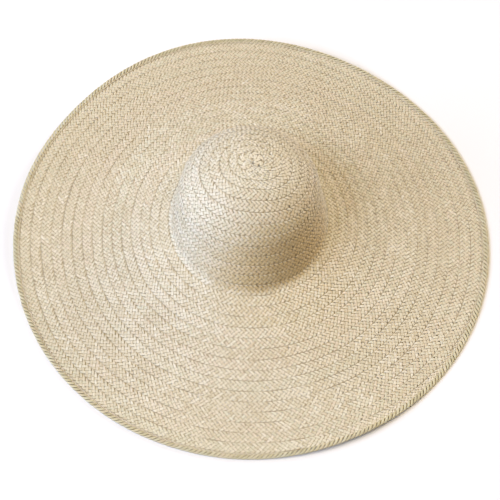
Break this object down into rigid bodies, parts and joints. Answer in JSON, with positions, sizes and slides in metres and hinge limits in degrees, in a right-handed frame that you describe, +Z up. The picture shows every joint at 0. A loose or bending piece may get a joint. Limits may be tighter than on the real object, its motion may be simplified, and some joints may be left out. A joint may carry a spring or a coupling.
{
  "type": "wide-brim straw hat",
  "caption": "Wide-brim hat of coiled, sewn straw plait: small medallion, domed tapered crown and a broad, softly waved brim with a narrow edge braid.",
  "frame": {"origin": "on the table, at the centre of the circle that the brim's edge makes, under the crown", "axes": "+Z up through the crown's tip, +Y towards the back of the hat, +X to the wearer's left when worn facing -Y"},
  "size_m": [0.56, 0.56, 0.1405],
  "materials": {
    "tip_straw": "plaited natural palm leaf, satin",
    "crown_straw": "plaited natural palm leaf, satin",
    "wall_straw": "plaited natural palm leaf, satin",
    "brim_straw": "plaited natural palm leaf, satin",
    "edge_straw": "narrow overcast palm leaf braid, satin"
  },
  "bodies": {
    "root": {"crown_tip": "tip_straw", "crown_top": "crown_straw", "crown_wall": "wall_straw", "brim": "brim_straw", "edge_braid": "edge_straw"}
  },
  "joints": []
}
